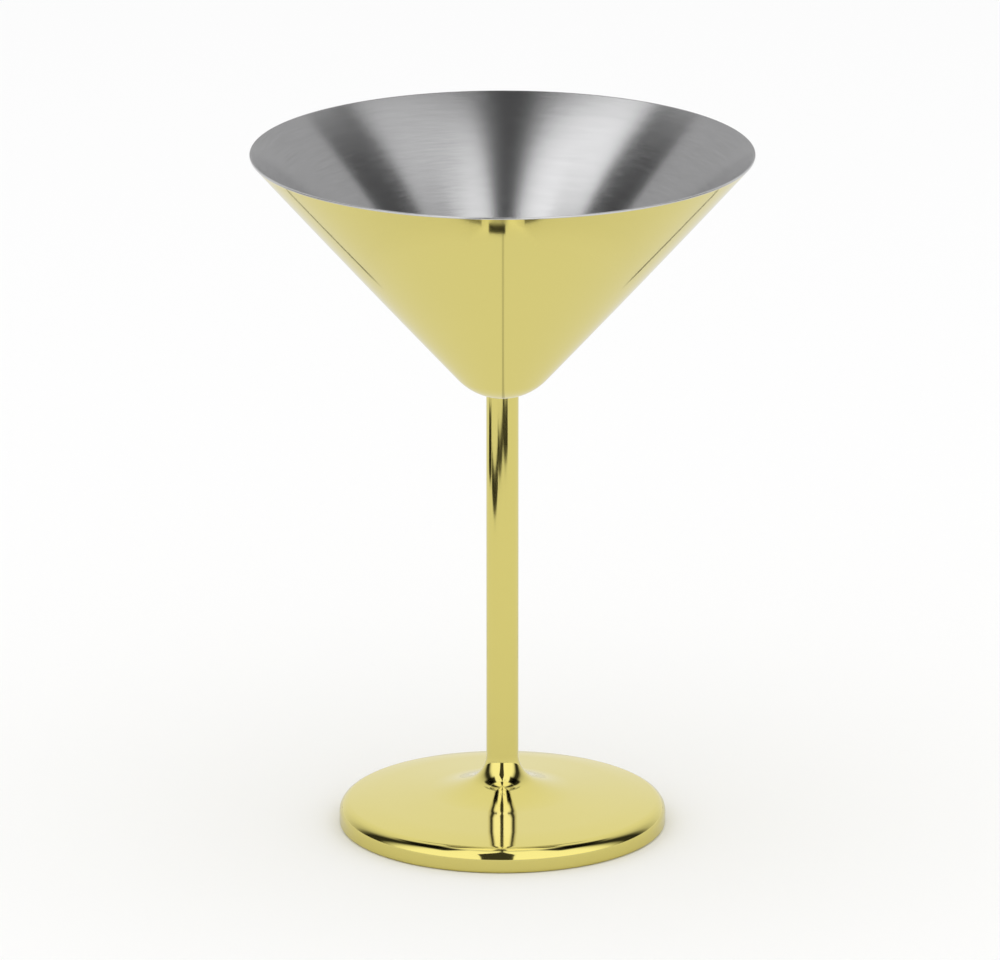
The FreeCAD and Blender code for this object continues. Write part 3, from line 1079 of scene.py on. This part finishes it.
@dataclass
class Studio:
    """Floor, light and camera round the glass.

    Attributes:
        camera_place: Where the camera stands.
        camera_tilt: Its turn about X from looking straight down, in degrees.
        camera_lens: Its focal length, in mm.
        camera_clip: Nearest and furthest distance that it draws.
        sensor: Width of its sensor, in mm.
        lamp_place: Where the soft lamp's centre hangs.
        lamp_size: The lamp's diameter.
        lamp_power: The lamp's power, in watts.
        floor_colour: The floor's colour.
        floor_reflected_shade: A darker colour that the floor takes where it is seen mirrored in the metal,
            painted shade in its reflections.
        floor_grain: Share by which the paper's grain changes it.
        floor_size: Length of the floor's sides.
        felt_shade: Darkest and lightest share of light that the felt gives back.
        flags: Black felt cards that only reflections see, which paint the dark marks and lines in the metal's
            reflections and cast no shadow. The first four and the two lines lie on the floor, those for the
            lip hang under the bowl, and the rest hang over it.
        glows: Glowing cards over the bowl, seen only in reflections, which paint highlights in the metal; they
            light nothing.
        painted_floor_reflection: The glowing ring under the bowl, a painted reflection of the floor in the
            cone.
    """

    camera_place: tuple[float, float, float] = (-0.00056, -2.223, 0.739)
    camera_tilt: float = 73.547
    camera_lens: float = 364.1
    camera_clip: tuple[float, float] = (0.1, 50.0)
    sensor: float = 36.0
    lamp_place: tuple[float, float, float] = (0.0, -0.15, 1.5)
    lamp_size: float = 1.6
    lamp_power: float = 2.6
    floor_colour: str = "#F6F6F6"
    floor_reflected_shade: str = "#E0E0E0"
    floor_grain: float = 0.005
    floor_size: float = 8.0
    felt_shade: tuple[float, float] = (0.01, 0.03)
    # Painted reflections: black cards that only reflections see; they cast no shadow and paint dark marks and
    # lines in the metal.
    flags: Sequence[Card] = (
        Card("flag_right", (0.110, -0.310, 0.001), (0.21, 0.060), (0, 0, 21.6), Seen.IN_REFLECTIONS),
        Card("flag_middle", (-0.080, -0.297, 0.001), (0.21, 0.040), (0, 0, -20.0), Seen.IN_REFLECTIONS),
        Card("flag_left", (-0.226, -0.150, 0.001), (0.23, 0.042), (0, 0, -57), Seen.IN_REFLECTIONS),
        Card("flag_side", (-0.310, 0.045, 0.001), (0.070, 0.150), (0, 0, -8), Seen.IN_REFLECTIONS),
        Card("line_left", (-0.107, 0.1535, 0.001), (0.13, 0.003), (0, 0, 114), Seen.IN_REFLECTIONS),
        Card("line_right", (0.107, 0.1535, 0.001), (0.13, 0.003), (0, 0, 66), Seen.IN_REFLECTIONS),
        Card("lip_line_left", (-0.0158, -0.0480, 0.103), (0.0145, 0.0008), (0, 0, -5), Seen.IN_REFLECTIONS),
        Card("lip_line_right", (0.0165, -0.0480, 0.103), (0.0150, 0.0008), (0, 0, 5), Seen.IN_REFLECTIONS),
        Card("lip_spot", (-0.0022, -0.0477, 0.103), (0.0068, 0.0022), (0, 0, 0), Seen.IN_REFLECTIONS),
        Card("flag_over_bowl", (-0.0014, 0.020, 0.215), (0.012, 0.09), (0, 0, 0), Seen.IN_REFLECTIONS),
        Card("flag_bowl_left", (-0.046, 0.057, 0.22), (0.044, 0.032), (0, 0, 20), Seen.IN_REFLECTIONS),
        Card("flag_bowl_right", (0.046, 0.057, 0.22), (0.044, 0.032), (0, 0, -20), Seen.IN_REFLECTIONS),
    )
    # Painted highlights: glowing cards that only reflections see; they light nothing.
    glows: Sequence[GlowCard] = (
        GlowCard("glow_bowl_left", (-0.02, 0.031, 0.22), (0.03, 0.05), (0, 0, 141), Seen.IN_REFLECTIONS, 1.20),
        GlowCard("glow_bowl_right", (0.02, 0.031, 0.22), (0.03, 0.05), (0, 0, 39), Seen.IN_REFLECTIONS, 0.62),
        GlowCard("screen_behind", (0.0, 0.064, 0.180), (0.16, 0.040), (90, 0, 0), Seen.IN_REFLECTIONS, 0.42),
    )
    painted_floor_reflection: PaintedFloorReflection = PaintedFloorReflection()

    def build(self) -> None:
        """Makes everything that isn't the glass."""
        Dome().build()
        Card("floor", (0, 0, 0), (self.floor_size, self.floor_size), (0, 0, 0)).build(self._paper())
        felt = self._felt()
        for flag in self.flags:
            flag.build(felt)
        for glow in self.glows:
            glow.build(glow.material())
        self.painted_floor_reflection.build()
        self._lamp()
        self._camera()

    def _paper(self) -> bpy.types.Material:
        made, graph = new_material("floor_paper")
        place = graph.add("TexCoord").outputs["Object"]
        grain = graph.add("TexNoise", {"Vector": place, "Scale": 900.0, "Detail": 2.0})
        limits = {"To Min": 1 - self.floor_grain, "To Max": 1 + self.floor_grain}
        factor = graph.add("MapRange", {"Value": grain.outputs[0], **limits}).outputs[0]
        # Painted shade: the floor turns darker in rays that see it mirrored in the metal.
        rays = graph.add("LightPath")
        ends = {"A": linear(self.floor_colour), "B": linear(self.floor_reflected_shade)}
        paper = graph.add("Mix", {"Factor": rays.outputs["Is Glossy Ray"], **ends}, data_type="RGBA")
        tint = graph.add("VectorMath", {0: paper.outputs["Result"], "Scale": factor}, operation="SCALE")
        shader = graph.add("BsdfDiffuse", {"Color": tint.outputs[0], "Roughness": 0.0})
        graph.add("OutputMaterial", {"Surface": shader.outputs[0]})
        return made

    def _felt(self) -> bpy.types.Material:
        made, graph = new_material("flag_felt")
        place = graph.add("TexCoord").outputs["Object"]
        fibres = graph.add("TexNoise", {"Vector": place, "Scale": CLOTH_SCALE})
        darkest, lightest = self.felt_shade
        limits = {"To Min": darkest, "To Max": lightest}
        factor = graph.add("MapRange", {"Value": fibres.outputs[0], **limits}).outputs[0]
        tint = graph.add("CombineXYZ", {"X": factor, "Y": factor, "Z": factor})
        shader = graph.add("BsdfDiffuse", {"Color": tint.outputs[0], "Roughness": 0.0})
        graph.add("OutputMaterial", {"Surface": shader.outputs[0]})
        return made

    def _lamp(self) -> None:
        data = bpy.data.lights.new("soft_top", "AREA")
        data.shape, data.size, data.energy = "DISK", self.lamp_size, self.lamp_power
        lamp = bpy.data.objects.new("soft_top", data)
        lamp.location = self.lamp_place
        lamp.visible_camera = lamp.visible_glossy = False
        bpy.context.scene.collection.objects.link(lamp)

    def _camera(self) -> None:
        data = bpy.data.cameras.new("camera")
        data.lens, data.sensor_width = self.camera_lens, self.sensor
        data.clip_start, data.clip_end = self.camera_clip
        camera = bpy.data.objects.new("camera", data)
        camera.location = self.camera_place
        camera.rotation_euler = (math.radians(self.camera_tilt), 0.0, 0.0)
        bpy.context.scene.collection.objects.link(camera)
        bpy.context.scene.camera = camera


def main() -> None:
    """Loads the frame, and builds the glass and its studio."""
    logging.basicConfig(level=logging.INFO, format="%(name)s: %(message)s")
    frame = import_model()
    glass = MartiniGlass(
        gold=PolishedFinish("polished_gold_steel", "#EADD83", 0.05),
        brushed=BrushedFinish("brushed_steel", "#D9D9DA", 0.23),
        plain=MilledFinish("plain_steel", "#B9BABB", 0.4),
    )
    glass.build(frame["nodes"])
    Studio().build()
    bpy.context.scene.view_settings.view_transform = "Standard"


if __name__ == "__main__":
    main()
